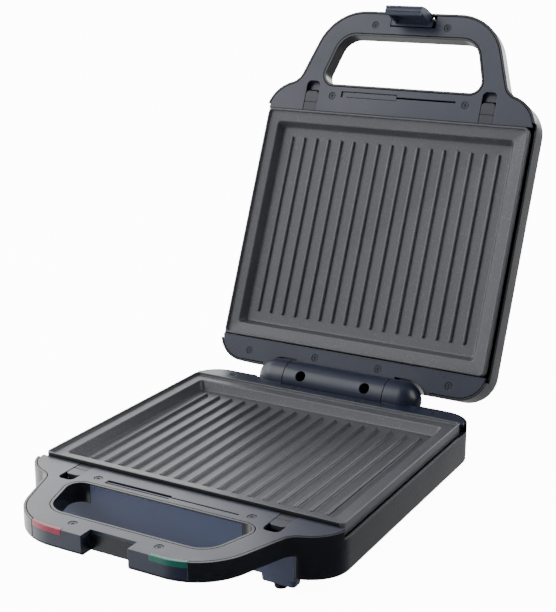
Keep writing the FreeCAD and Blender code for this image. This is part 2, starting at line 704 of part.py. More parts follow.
def make_lid_bezel():
    body = new_body("lid_bezel", LID)
    bezel_frame(body, -1)
    top = "-Dimensions.bezel_drop"
    # Pocket for the latch: side walls with the pin's bores, and a back wall.
    pocket_walls = [(-23.4, -87.6, 0), (-21.7, -87.6, 0), (-21.7, -77.7, 0), (19.2, -77.7, 0),
                    (19.2, -87.6, 0), (20.9, -87.6, 0), (20.9, -76, 0), (-23.4, -76, 0)]
    cut_down(body, bound_rectangle(body, top, "-21.7", "19.2", "-95", "-77.7"), "3")
    pad_down(body, outline_sketch(body, top, pocket_walls), "11.8")
    pin = [(-size("latch_pin_reach"), -size("latch_pin_drop"))]
    cut_across(body, circles_sketch(body, "0", pin, "1.26", role="YZ_Plane"), "50")
    # Hinge: a hollow round the knuckles, then the barrel and the block that carries it.
    saddle(body, LID_HINGE_Z, size("notch_radius") + 1.6, size("notch_half") + 1.6)
    notch = size("notch_radius")
    turn(body, domed_profile(size("notch_half") - notch, notch, -1), "Dimensions.hinge_drop",
         cuts=True)
    half = size("barrel_half")
    root = bound_rectangle(body, top, "-Dimensions.barrel_half", "Dimensions.barrel_half",
                           "209", "219.2")
    pad_down(body, root, "Dimensions.bezel_skin")
    root = bound_rectangle(body, top, "-Dimensions.barrel_half", "Dimensions.barrel_half",
                           "212", "219.2")
    pad_down(body, root, "9.5")
    radius = size("barrel_radius")
    turn(body, rounded([(-half, 0, 0), (half, 0, 0), (half, radius, 0), (-half, radius, 0)]),
         "Dimensions.hinge_drop")
    bore = circles_sketch(body, "0", [(HINGE_Y, LID_HINGE_Z)], "Dimensions.pin_radius + 0.05",
                          role="YZ_Plane")
    cut_across(body, bore, "2 * Dimensions.barrel_half + 1")
    # Deep holes for the two screws that close the barrel.
    holes = [(side * 28.75, HINGE_Y - 2.9) for side in (-1, 1)]
    cut_down(body, circles_sketch(body, "20", holes, "4.4"), "18.5")
    cut_down(body, circles_sketch(body, "1.6", holes, "2.1"), "9")
    # A rib behind the barrel rests on the base's rear wall when the lid is fully open.
    angle = math.radians(size("open_angle"))
    gap = 0.3
    wall_y = size("body_rear") - HINGE_Y + gap
    corners = []
    for y, z in ((wall_y, -25), (wall_y + 4, -25), (wall_y + 4, -9), (wall_y, -12)):
        shut_y = y * math.cos(angle) - z * math.sin(angle)
        shut_z = y * math.sin(angle) + z * math.cos(angle)
        corners.append((HINGE_Y + shut_y, LID_HINGE_Z - shut_z, 0))
    pad_across(body, outline_sketch(body, "0", corners, role="YZ_Plane"), "26")
    screw_seats(body)
    return body


# Bottom tray --------------------------------------------------------------------------

def make_base_bottom():
    body = new_body("base_bottom", BASE)
    floor_top = -size("tray_depth") + 2
    gap = size("wall") + 0.3
    side_x, shoulder_y, shoulder_radius = cover_outline()[2]
    front_x, front_y = 96.8, -size("opening_back")
    edge = inset(corner_list([(100, front_y, 0), (side_x, shoulder_y, shoulder_radius),
                              (side_x, size("body_rear"), size("rear_round"))]), gap)
    edge = corner_list([(front_x, front_y, 0), (front_x, front_y + 4.2, 0)] + edge[1:3])
    pad_down(body, outline_sketch(body, str(floor_top), edge), "2")
    # Front wall: high behind the hand opening, lower under the handle's ends.
    pad_down(body, bound_rectangle(body, "-3.7", "-59.3", "59.3", "-Dimensions.opening_back",
                                   "-Dimensions.opening_back + 2"), "Dimensions.tray_depth - 4")
    pad_down(body, bound_rectangle(body, "-Dimensions.handle_bottom - 0.2", "-96.8", "96.8",
                                   "-Dimensions.opening_back", "-Dimensions.opening_back + 2"),
             "Dimensions.tray_depth - Dimensions.handle_bottom - 0.6")
    # Foot posts, narrower at the foot.
    for y0, y1 in ((-25.3, -14.3), (203, 215)):
        for x0, x1 in ((-97, -71.5), (71.5, 97)):
            head = outline_sketch(body, str(floor_top - 1), box_corners(x0, x1, y0, y1, 3))
            foot = outline_sketch(body, "-Dimensions.post_depth",
                                  inset(box_corners(x0, x1, y0, y1, 3), 0.8))
            loft = body.newObject("PartDesign::AdditiveLoft", "Loft")
            loft.Profile = head
            loft.Sections = [foot]
            loft.Ruled = True
            finish_feature(body, loft, True)
    fillet_level(body, -size("post_depth"), 1.2)
    body_screws = [spot for spot in SCREW_SPOTS if spot[1] > -30]
    boss(body, body_screws, BEZEL_UNDER - SEAM, floor_top - 0.5, radius=3.2)
    seat = -size("reflector_drop") - SEAM
    pad_down(body, circles_sketch(body, str(seat), REFLECTOR_POSTS, "4"), str(seat - floor_top + 0.5))
    # Seats for the rubber feet and for the screws that hold the cover.
    cut_down(body, circles_sketch(body, "-Dimensions.post_depth + 2", FOOT_SPOTS, "2.6"), "3")
    cut_down(body, circles_sketch(body, str(floor_top), COVER_SCREW_SPOTS, "1.6"), "3")
    heads = circles_sketch(body, "-Dimensions.tray_depth + 1.2", COVER_SCREW_SPOTS, "3")
    cut_down(body, heads, "2")
    # Air slots in two banks.
    slot = outline_sketch(body, str(floor_top), box_corners(-62, -26, 60, 62.4, 1.1),
                          box_corners(26, 62, 60, 62.4, 1.1))
    first = cut_down(body, slot, "3")
    pattern = body.newObject("PartDesign::LinearPattern", "LinearPattern")
    pattern.Originals = [first]
    pattern.Direction = (slot, ["V_Axis"])
    pattern.Length = 72
    pattern.Occurrences = 9
    body.Tip = pattern
    finish_feature(body, pattern, False)
    return body


# Plates -------------------------------------------------------------------------------

def make_plate(name, placement):
    body = new_body(name, placement)
    half = size("plate_width") / 2
    skin = size("plate_skin")
    edge = box_corners(-half, half, 0, size("plate_depth"), 4)
    top = size("plate_gap")
    rim = top + size("lip_height")
    pan_floor = rim + size("pan_depth")
    margin, draft = size("pan_margin"), size("pan_draft")
    pad_down(body, outline_sketch(body, "-Dimensions.plate_gap", edge),
             "Dimensions.lip_height + Dimensions.plate_skin")
    pad_down(body, outline_sketch(body, f"{-rim - 1}", edge, inset(edge, 3)),
             "Dimensions.skirt_depth - Dimensions.lip_height - 1")
    outer_top = outline_sketch(body, f"{-rim - skin + 0.5}", inset(edge, margin - skin))
    outer_foot = outline_sketch(body, f"{-pan_floor - skin}", inset(edge, margin + draft - skin + 0.5))
    pan = body.newObject("PartDesign::AdditiveLoft", "Loft")
    pan.Profile = outer_top
    pan.Sections = [outer_foot]
    pan.Ruled = True
    finish_feature(body, pan, True)
    cut_down(body, outline_sketch(body, "0", inset(edge, size("lip_width"))),
             "Dimensions.plate_gap + Dimensions.lip_height")
    mouth = outline_sketch(body, f"{-rim + 0.01}", inset(edge, margin))
    base = outline_sketch(body, f"{-pan_floor}", inset(edge, margin + draft))
    hollow = body.newObject("PartDesign::SubtractiveLoft", "Loft")
    hollow.Profile = mouth
    hollow.Sections = [base]
    hollow.Ruled = True
    finish_feature(body, hollow, False)
    # One rib, repeated across the pan.
    count = int(size("rib_count"))
    x = -(count - 1) / 2 * size("rib_pitch")
    w = size("rib_width") / 2
    front, back = size("rib_front"), size("rib_front") + size("rib_length")
    foot = outline_sketch(body, f"{-pan_floor - 0.5}", box_corners(x - w, x + w, front, back, w - 0.05))
    crest = outline_sketch(body, f"{-pan_floor + size('rib_height')}",
                           inset(box_corners(x - w, x + w, front, back, w - 0.05), 0.7))
    rib = body.newObject("PartDesign::AdditiveLoft", "Loft")
    rib.Profile = foot
    rib.Sections = [crest]
    rib.Ruled = True
    finish_feature(body, rib, True)
    pattern = body.newObject("PartDesign::LinearPattern", "LinearPattern")
    pattern.Originals = [rib]
    pattern.Direction = (foot, ["H_Axis"])
    pattern.setExpression("Length", "(Dimensions.rib_count - 1) * Dimensions.rib_pitch")
    pattern.setExpression("Occurrences", "Dimensions.rib_count")
    body.Tip = pattern
    finish_feature(body, pattern, True)
    # Lugs: two under the clips' noses in front, two under the bezel's rear strip.
    clip = size("clip_offset")
    depth = size("plate_depth")
    lugs = []
    for side in (-1, 1):
        lugs.append(box_corners(side * clip - 4, side * clip + 4, -2.4, 0.5))
        lugs.append(box_corners(side * 70 - 6, side * 70 + 6, depth - 0.5, depth + 2.6))
    pad_down(body, outline_sketch(body, "-7.5", *lugs), "1.7")
    return body


# Moving small parts -------------------------------------------------------------------

def make_clip(name, placement, side):
    """Sliding clip that holds a plate's front lug down until it is pulled forward."""
    body = new_body(name, placement)
    x = side * size("clip_offset")
    half = size("clip_width") / 2 - 0.25
    tab = [(x - half, -18, 3), (x + half, -18, 3), (x + half, -0.8, 0), (x - half, -0.8, 0)]
    pad_down(body, outline_sketch(body, "-Dimensions.bezel_drop - 0.3", tab), "2.8")
    pad_down(body, outline_sketch(body, "-5.1", box_corners(x - 8, x + 8, -17, -3)), "1.7")
    pad_down(body, outline_sketch(body, "-5.1", box_corners(x - 4, x + 4, -3.2, -0.8)), "1.9")
    pad_down(body, outline_sketch(body, "-6.7", box_corners(x - 4, x + 4, -15, -12.6)), "5.3")
    cut_down(body, outline_sketch(body, "-2.5", box_corners(x - half - 1, x + half + 1, -8.6, -8)),
             "0.7")
    return body


def make_latch():
    body = new_body("latch", LID)
    half = size("latch_half")
    # Hook: an outer wall that runs past the other handle and turns in under it.
    hook = [(-88.2, -9, 0), (-90.3, -9, 0), (-90.6, 4, 2), (-90.2, 12, 2), (-88.6, 19.6, 1),
            (-87, 20, 0), (-86.5, 19.3, 0), (-85.7, 19.3, 0), (-85.2, 20, 0),
            (-83.8, 20, 0), (-83.3, 19.3, 0), (-82.7, 19.3, 0), (-82.2, 20, 0),
            (-80.6, 19.6, 0.4), (-80.6, 17.5, 0), (-86.8, 17.5, 0), (-88.2, 12, 0)]
    pad_across(body, outline_sketch(body, "0", list(reversed(hook)), role="YZ_Plane"), "32")
    cheek = [(-88.6, -3, 0), (-88.6, 17.9, 0), (-83.6, 17.9, 0), (-82.2, 6, 1), (-82.2, -3, 0)]
    pad_across(body, outline_sketch(body, "0", list(reversed(cheek)), role="YZ_Plane"), "32")
    room = [(-88.2, -14, 0), (-88.2, 12, 0), (-86.8, 17.5, 0), (-80, 17.5, 0), (-80, -14, 0)]
    cut_across(body, outline_sketch(body, "0", list(reversed(room)), role="YZ_Plane"), "28.8")
    # Frame that turns on the pin inside the handle's pocket, with its floor over the pin.
    room = box_corners(-14.6, 14.6, -87, -80.6)
    frame = [(-16, -88.1, 1), (16, -88.1, 1), (16, -85.2, 0), (half, -85.2, 0),
             (half, -78.9, 1), (-half, -78.9, 1), (-half, -85.2, 0), (-16, -85.2, 0)]
    pad_down(body, outline_sketch(body, "-2.6", frame, room), "8.4")
    floor = box_corners(-15.2, 15.2, -87.2, -80.4)
    pad_down(body, outline_sketch(body, "-5.2", floor), "0.7")
    pin = [(-size("latch_pin_reach"), -size("latch_pin_drop"))]
    cut_across(body, circles_sketch(body, "0", pin, "1.3", role="YZ_Plane"), "50")
    return body


def make_latch_pin():
    return named(solid_cylinder("latch_pin", 1.25, 43.1,
                                (-22.8, -size("latch_pin_reach"), -size("latch_pin_drop")),
                                Vector(1, 0, 0)), "latch_pin", LID)


def named(piece, name, placement):
    """Give a Part object its label and carry it to its half's place."""
    piece.Label = name
    piece.Placement = placement * piece.Placement
    return piece


# Heating ------------------------------------------------------------------------------

def make_element(name, placement):
    """Bent sheathed heating tube: one loop under the pan with both ends at the back."""
    body = new_body(name, placement)
    drop = "-Dimensions.tube_drop"
    path = blank_sketch(body, z=drop)
    bends = [(-22, 186, 0), (-22, 166, 12), (-88, 166, 14), (-88, 30, 18), (88, 30, 18),
             (88, 166, 14), (22, 166, 12), (22, 186, 0)]
    run = rounded(bends)
    draw(path, run[:-1])
    profile = blank_sketch(body, "XZ_Plane", z="-186")
    profile.addGeometry(Part.Circle(Vector(-22, -size("tube_drop"), 0), Vector(0, 0, 1),
                                    size("tube_radius")), False)
    tie = profile.addConstraint(Sketcher.Constraint("Radius", 0, size("tube_radius")))
    profile.setExpression(f"Constraints[{tie}]", "Dimensions.tube_radius")
    pipe = body.newObject("PartDesign::AdditivePipe", "Pipe")
    pipe.Profile = profile
    pipe.Spine = (path, [])
    finish_feature(body, pipe, True)
    return body


def make_reflector(name, placement):
    """Pressed steel tray under the element, with turned-up sides."""
    body = new_body(name, placement)
    edge = box_corners(-103, 103, 13, 189, 12)
    top = size("reflector_drop") - 8.6
    pad_down(body, outline_sketch(body, f"{-top}", edge), "8.6")
    cut_down(body, outline_sketch(body, f"{-top + 0.1}", inset(edge, SHEET)), f"{8.7 - SHEET}")
    return body


def make_element_clamps(name, placement):
    """Four saddles that stand on the reflector and carry the tube."""
    radius = size("tube_radius")
    height = size("reflector_drop") - SHEET - size("tube_drop") + 1.5
    foot = -size("reflector_drop") + SHEET
    saddles = []
    for x, y in ((-88, 70), (-88, 130), (88, 70), (88, 130)):
        block = solid_box("SaddleBlock", (x - 6, y - 4, foot), (12, 8, height))
        groove = solid_cylinder("SaddleGroove", radius + 0.05, 20, (x, y - 10, -size("tube_drop")),
                                Vector(0, 1, 0))
        saddles.append(cut_from("Saddle", block, groove))
    return grouped(name, saddles, placement)


def make_thermostat(name, placement):
    """Round bimetal thermostat that stands on the reflector under the pan's middle."""
    foot = -size("reflector_drop") + SHEET
    can = solid_cylinder("ThermostatCan", 8, 5.4, (0, 100, foot))
    cap = solid_cylinder("ThermostatCap", 6.2, 2.4, (0, 100, foot + 5.2))
    blades = [solid_box("ThermostatBlade", (side * 9.5 - 4, 97.5, foot + 1.6), (8, 5, 0.8))
              for side in (-1, 1)]
    whole = fused("ThermostatWhole", [can, cap] + blades)
    return named(whole, name, placement)


def make_thermal_fuse(name, placement):
    """Thermal fuse in its sleeve, lying on the reflector beside the thermostat."""
    radius = 2.2
    height = -size("reflector_drop") + SHEET + radius + 0.05
    sleeve = solid_cylinder("FuseSleeve", radius, 14, (28, 93, height), Vector(0, 1, 0))
    lead = solid_cylinder("FuseLead", 0.6, 26, (28, 87, height), Vector(0, 1, 0))
    return named(fused("FuseWhole", [sleeve, lead]), name, placement)


# Base-only small parts ----------------------------------------------------------------

def make_lens(name, side):
    """Moulded lens let into the front top edge of the lower handle."""
    body = new_body(name, BASE)
    sketch = blank_sketch(body, z="-Dimensions.bezel_drop + 0.1")
    draw(sketch, front_strip(side, LENS_FROM, LENS_TO, 0.1, LENS_INSET))
    pad_down(body, sketch, "3.7")
    return body


def make_indicator_lamps():
    """Two small neon lamps lying behind the lenses."""
    lamps = []
    for side in (-1, 1):
        tube = solid_cylinder("LampTube", 2, 9, (side * 44, -84.6, -9), Vector(0, 1, 0))
        foot = solid_box("LampFoot", (side * 44 - 2.4, -78, HANDLE_FLOOR), (4.8, 2.2, 7.6))
        lamps.append(fused("Lamp", [tube, foot]))
    return grouped("indicator_lamps", lamps, BASE)


def make_rubber_feet():
    """Four turned rubber feet, each with a stud in its post."""
    top = -size("post_depth")
    height = size("floor_drop") - size("post_depth")
    feet = []
    for x, y in FOOT_SPOTS:
        pad = doc.addObject("Part::Cone", "FootPad")
        pad.Radius1, pad.Radius2, pad.Height = 4.2, 4.9, height
        pad.Placement.Base = Vector(x, y, top - height)
        stud = solid_cylinder("FootStud", 2.5, 1.7, (x, y, top - 0.1))
        feet.append(fused("Foot", [pad, stud]))
    return grouped("rubber_feet", feet, BASE)


def make_terminal_block():
    """Two-way terminal block where the mains lead is joined to the inner wires."""
    floor_top = -size("tray_depth") + 2
    block = solid_box("TerminalBody", (-70, 193, floor_top), (28, 12, 10))
    current = block
    for x in (-63, -49):
        wire_way = solid_cylinder("TerminalWay", 2, 14, (x, 192, floor_top + 4.5), Vector(0, 1, 0))
        current = cut_from("TerminalCut", current, wire_way)
        screw_way = solid_cylinder("TerminalScrewWay", 1.8, 6, (x, 199, floor_top + 6))
        current = cut_from("TerminalCut", current, screw_way)
    return named(current, "terminal_block", BASE)


def make_cord_inlet():
    """Bushing in the rear wall that the mains lead passes through."""
    rear = size("body_rear")
    axis = Vector(0, 1, 0)
    x, z = -85, -20
    neck = solid_cylinder("InletNeck", 6.3, 6, (x, rear - 4, z), axis)
    flange = solid_cylinder("InletFlange", 8, 2.2, (x, rear + 0.1, z), axis)
    collar = solid_cylinder("InletCollar", 7.4, 1.6, (x, rear - 3.9, z), axis)
    bore = solid_cylinder("InletBore", 3.6, 12, (x, rear - 6, z), axis)
    return named(cut_from("InletWhole", fused("InletSolid", [neck, flange, collar]), bore),
                 "cord_inlet", BASE)


# Fasteners and springs ----------------------------------------------------------------

def screw(x, y, head_top, length, up=False, head_radius=2.75, shank_radius=1.35):
    """A cross-headed screw; up turns it over so that it drives from below."""
    way = -1 if up else 1
    head_height = 1.1
    base = head_top - way * head_height
    head = solid_cylinder("ScrewHead", head_radius, head_height, (x, y, min(head_top, base)))
    tip = base - way * (length - head_height)
    shank = solid_cylinder("ScrewShank", shank_radius, length - head_height + 0.1,
                           (x, y, min(tip, base + way * 0.1)))
    whole = fused("ScrewBlank", [head, shank])
    slot_depth = 0.7
    low = head_top - slot_depth if not up else head_top - 0.1
    arms = [solid_box("CrossArm", (x - 1.5, y - 0.3, low), (3, 0.6, slot_depth + 0.1)),
            solid_box("CrossArm", (x - 0.3, y - 1.5, low), (0.6, 3, slot_depth + 0.1))]
    return cut_from("Screw", whole, fused("Cross", arms))


def make_screws():
    groups = []
    for name, placement in (("base_bezel_screws", BASE), ("lid_bezel_screws", LID)):
        screws = [screw(x, y, BEZEL_TOP - 0.25, 9.5) for x, y in SCREW_SPOTS]
        groups.append(grouped(name, screws, placement))
    under = -size("tray_depth") + 0.05
    bottom = [screw(x, y, under, 11, up=True) for x, y in COVER_SCREW_SPOTS]
    groups.append(grouped("bottom_screws", bottom, BASE))
    barrel = [screw(side * 28.75, HINGE_Y - 2.9, 2.65, 8, head_radius=3.6, shank_radius=1.9)
              for side in (-1, 1)]
    groups.append(grouped("barrel_screws", barrel, LID))
    return groups


def make_hinge_pins():
    """Two steel pins, pressed into the knuckles, on which the lid's barrel turns."""
    inner, outer = 33.4, 63.6
    pins = [solid_cylinder("HingePin", size("pin_radius"), outer - inner,
                           (min(side * inner, side * outer), HINGE_Y, BASE_HINGE_Z),
                           Vector(1, 0, 0)) for side in (-1, 1)]
    return grouped("hinge_pins", pins, BASE)


def make_coil(name, placement, start, axis, coil_radius, wire_radius, length, turns):
    """A closed coil spring swept along a helix; it has no simpler feature."""
    spring = doc.addObject("Part::Feature", name)
    helix = Part.makeLongHelix(length / turns, length, coil_radius)
    ring = Part.Wire(Part.Circle(Vector(coil_radius, 0, 0), Vector(0, 1, 0), wire_radius).toShape())
    coil = Part.Wire(helix.Edges).makePipeShell([ring], True, True)
    place = Placement(Vector(*start), Rotation(Vector(0, 0, 1), axis))
    spring.Shape = coil
    spring.Label = name
    spring.Placement = placement * place
    return spring


def make_springs():
    springs = []
    for half, placement in (("base", BASE), ("lid", LID)):
        for word, side in (("left", -1), ("right", 1)):
            clip_side = side if half == "base" else -side
            start = (clip_side * size("clip_offset"), -26.2, -10.2)
            springs.append(make_coil(f"{half}_clip_spring_{word}", placement, start,
                                     Vector(0, 1, 0), 1.9, 0.35, 10.7, 6))
    start = (-6, -size("latch_pin_reach"), -size("latch_pin_drop"))
    springs.append(make_coil("latch_spring", LID, start, Vector(1, 0, 0), 1.9, 0.4, 12, 9))
    return springs


# The assembly -------------------------------------------------------------------------

parts = [
    make_base_cover(),
    make_lid_cover(),
    make_base_bezel(),
    make_lid_bezel(),
    make_base_bottom(),
    make_plate("base_plate", BASE),
    make_plate("lid_plate", LID),
    make_clip("base_clip_left", BASE, -1),
    make_clip("base_clip_right", BASE, 1),
    make_clip("lid_clip_left", LID, 1),
    make_clip("lid_clip_right", LID, -1),
    make_latch(),
    make_latch_pin(),
    make_element("base_heating_element", BASE),
    make_element("lid_heating_element", LID),
    make_reflector("base_reflector", BASE),
    make_reflector("lid_reflector", LID),
    make_element_clamps("base_element_clamps", BASE),
    make_element_clamps("lid_element_clamps", LID),
    make_thermostat("thermostat", BASE),
    make_thermal_fuse("thermal_fuse", BASE),
    make_lens("red_lens", -1),
    make_lens("green_lens", 1),
    make_indicator_lamps(),
    make_rubber_feet(),
    make_terminal_block(),
    make_cord_inlet(),
    make_hinge_pins(),
]
parts += make_screws()
parts += make_springs()
doc.recompute()

for item in doc.Objects:
    if "Invalid" in item.State or "Error" in item.State:
        raise RuntimeError(f"{item.Label} failed: {item.State}")
for item in parts:
    if item.Shape.isNull() or not item.Shape.isValid():
        raise RuntimeError(f"{item.Label} has no valid shape")

os.makedirs("parts", exist_ok=True)
for item in parts:
    item.Shape.exportStep(f"parts/{item.Label}.step")
    bounds = item.Shape.BoundBox
    print(f"{item.Label}: {len(item.Shape.Solids)} solid(s), {item.Shape.Volume / 1000:.2f} cm3, "
          f"x {bounds.XMin:.1f}..{bounds.XMax:.1f}, y {bounds.YMin:.1f}..{bounds.YMax:.1f}, "
          f"z {bounds.ZMin:.1f}..{bounds.ZMax:.1f}")
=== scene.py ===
import json
import math

import bmesh
import bpy
from mathutils import Matrix, Vector


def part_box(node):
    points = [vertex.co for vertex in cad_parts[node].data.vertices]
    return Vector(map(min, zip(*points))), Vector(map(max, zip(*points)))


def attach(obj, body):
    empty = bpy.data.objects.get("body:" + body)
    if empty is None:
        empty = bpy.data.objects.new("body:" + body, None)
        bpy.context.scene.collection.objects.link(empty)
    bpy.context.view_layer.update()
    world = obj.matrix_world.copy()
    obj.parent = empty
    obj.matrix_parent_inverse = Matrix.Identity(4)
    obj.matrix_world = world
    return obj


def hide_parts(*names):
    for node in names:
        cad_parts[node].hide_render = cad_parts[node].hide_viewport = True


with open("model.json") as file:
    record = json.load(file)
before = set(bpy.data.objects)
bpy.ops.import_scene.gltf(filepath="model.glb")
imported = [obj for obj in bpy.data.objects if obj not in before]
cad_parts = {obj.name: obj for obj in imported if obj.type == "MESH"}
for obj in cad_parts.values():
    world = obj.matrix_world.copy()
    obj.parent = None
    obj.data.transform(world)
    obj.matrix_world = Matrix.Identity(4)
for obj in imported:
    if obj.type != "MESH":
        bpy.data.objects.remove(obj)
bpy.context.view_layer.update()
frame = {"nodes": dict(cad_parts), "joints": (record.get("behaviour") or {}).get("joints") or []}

# Covers --------------------------------------------------------------------------------
# The outer shells of base and lid: injection-moulded glossy black ABS. Their thin rims
# frame the inner bezels, which are screwed into them.

MM = 0.001


def colour(text):
    """A hex colour as Blender's linear values."""
    channels = [int(text[i:i + 2], 16) / 255 for i in (0, 2, 4)]
    return [c / 12.92 if c <= 0.04045 else ((c + 0.055) / 1.055) ** 2.4 for c in channels] + [1]


def new_group(name, inputs, outputs):
    """An empty shader node group with the given sockets."""
    group = bpy.data.node_groups.new(name, "ShaderNodeTree")
    for label, kind, default in inputs:
        socket = group.interface.new_socket(label, in_out="INPUT", socket_type=kind)
        socket.default_value = default
    for label, kind in outputs:
        group.interface.new_socket(label, in_out="OUTPUT", socket_type=kind)
    return group, group.nodes.new("NodeGroupInput"), group.nodes.new("NodeGroupOutput")


def add(tree, kind, **settings):
    """A node with its settings; a setting named after a socket number sets that input."""
    node = tree.nodes.new(kind)
    for key, value in settings.items():
        if key.startswith("in_"):
            node.inputs[int(key[3:])].default_value = value
        else:
            setattr(node, key, value)
    return node


def make_grain_group():
    """Fine moulded or sprayed grain: a height, a soft cloudiness and scattered light flecks."""
    group, start, end = new_group("moulded_grain", [
        ("Grain size", "NodeSocketFloat", 0.4),
        ("Cloud size", "NodeSocketFloat", 60.0),
        ("Fleck size", "NodeSocketFloat", 0.7),
        ("Fleck share", "NodeSocketFloat", 0.1),
    ], [("Height", "NodeSocketFloat"), ("Cloud", "NodeSocketFloat"), ("Fleck", "NodeSocketFloat")])
    link = group.links.new
    place = add(group, "ShaderNodeTexCoord")

    def scale_from(size_socket):
        divide = add(group, "ShaderNodeMath", operation="DIVIDE", in_0=1000.0)
        link(start.outputs[size_socket], divide.inputs[1])
        return divide.outputs[0]

    fine = add(group, "ShaderNodeTexNoise", in_3=2.0, in_4=0.6)
    link(place.outputs["Object"], fine.inputs["Vector"])
    link(scale_from("Grain size"), fine.inputs["Scale"])
    cloud = add(group, "ShaderNodeTexNoise", in_3=3.0, in_4=0.55)
    link(place.outputs["Object"], cloud.inputs["Vector"])
    link(scale_from("Cloud size"), cloud.inputs["Scale"])
    fleck = add(group, "ShaderNodeTexVoronoi", feature="F1")
    link(place.outputs["Object"], fleck.inputs["Vector"])
    link(scale_from("Fleck size"), fleck.inputs["Scale"])
    share = add(group, "ShaderNodeMath", operation="LESS_THAN")
    tone = add(group, "ShaderNodeSeparateColor")
    link(fleck.outputs["Color"], tone.inputs[0])
    link(tone.outputs[0], share.inputs[0])
    link(start.outputs["Fleck share"], share.inputs[1])
    near = add(group, "ShaderNodeMapRange", in_1=0.15, in_2=0.4, in_3=1.0, in_4=0.0)
    link(fleck.outputs["Distance"], near.inputs[0])
    both = add(group, "ShaderNodeMath", operation="MULTIPLY")
    link(share.outputs[0], both.inputs[0])
    link(near.outputs[0], both.inputs[1])
    link(fine.outputs[0], end.inputs["Height"])
    link(cloud.outputs[0], end.inputs["Cloud"])
    link(both.outputs[0], end.inputs["Fleck"])
    return group


def make_edge_group():
    """A mask that is 1 on sharp edges and 0 on open faces, broken up so the wear is uneven."""
    group, start, end = new_group("edge_rub", [
        ("Reach", "NodeSocketFloat", 0.0008),
        ("Patchiness", "NodeSocketFloat", 25.0),
    ], [("Mask", "NodeSocketFloat"), ("Soft normal", "NodeSocketVector")])
    link = group.links.new
    soft = add(group, "ShaderNodeBevel", samples=6)
    link(start.outputs["Reach"], soft.inputs["Radius"])
    plain = add(group, "ShaderNodeNewGeometry")
    agree = add(group, "ShaderNodeVectorMath", operation="DOT_PRODUCT")
    link(soft.outputs[0], agree.inputs[0])
    link(plain.outputs["Normal"], agree.inputs[1])
    edge = add(group, "ShaderNodeMapRange", in_1=0.995, in_2=0.9, in_3=0.0, in_4=1.0)
    link(agree.outputs["Value"], edge.inputs[0])
    place = add(group, "ShaderNodeTexCoord")
    noise = add(group, "ShaderNodeTexNoise", in_3=3.0, in_4=0.6)
    link(place.outputs["Object"], noise.inputs["Vector"])
    link(start.outputs["Patchiness"], noise.inputs["Scale"])
    patch = add(group, "ShaderNodeMapRange", in_1=0.35, in_2=0.65, in_3=0.35, in_4=1.0)
    link(noise.outputs[0], patch.inputs[0])
    both = add(group, "ShaderNodeMath", operation="MULTIPLY")
    link(edge.outputs[0], both.inputs[0])
    link(patch.outputs[0], both.inputs[1])
    link(both.outputs[0], end.inputs["Mask"])
    link(soft.outputs[0], end.inputs["Soft normal"])
    return group


moulded_grain = make_grain_group()
edge_rub = make_edge_group()


def finish_material(name, dark, light, worn, rough, grain=0.4, bump=0.05, wear=0.5, reach=0.8,
                    fleck=0.0, fleck_size=0.7, rough_spread=0.08, **shader_values):
    """A procedural finish: two base tones mixed by cloudiness, flecks, rubbed edges and grain."""
    material = bpy.data.materials.new(name)
    material.use_nodes = True
    tree = material.node_tree
    link = tree.links.new
    shader = tree.nodes["Principled BSDF"]
    for socket, value in shader_values.items():
        shader.inputs[socket.replace("_", " ")].default_value = value
    surface = add(tree, "ShaderNodeGroup", node_tree=moulded_grain)
    surface.inputs["Grain size"].default_value = grain
    surface.inputs["Fleck size"].default_value = fleck_size
    surface.inputs["Fleck share"].default_value = fleck
    edges = add(tree, "ShaderNodeGroup", node_tree=edge_rub)
    edges.inputs["Reach"].default_value = reach * MM

    def mix(factor, a, b):
        node = add(tree, "ShaderNodeMix", data_type="RGBA")
        link(factor, node.inputs[0])
        for index, value in ((6, a), (7, b)):
            if isinstance(value, bpy.types.NodeSocket):
                link(value, node.inputs[index])
            else:
                node.inputs[index].default_value = value
        return node.outputs[2]

    def share_of(factor, amount):
        node = add(tree, "ShaderNodeMath", operation="MULTIPLY", in_1=amount)
        link(factor, node.inputs[0])
        return node.outputs[0]

    tone = mix(surface.outputs["Cloud"], colour(dark), colour(light))
    flecked = mix(share_of(surface.outputs["Fleck"], 0.6), tone, colour(worn))
    link(mix(share_of(edges.outputs["Mask"], wear), flecked, colour(worn)), shader.inputs["Base Color"])
    roughness = add(tree, "ShaderNodeMapRange", in_1=0.3, in_2=0.7,
                    in_3=rough - rough_spread, in_4=rough + rough_spread)
    link(surface.outputs["Cloud"], roughness.inputs[0])
    link(roughness.outputs[0], shader.inputs["Roughness"])
    relief = add(tree, "ShaderNodeBump", in_0=bump, in_1=0.0002)
    link(surface.outputs["Height"], relief.inputs["Height"])
    link(edges.outputs["Soft normal"], relief.inputs["Normal"])
    link(relief.outputs[0], shader.inputs["Normal"])
    return material


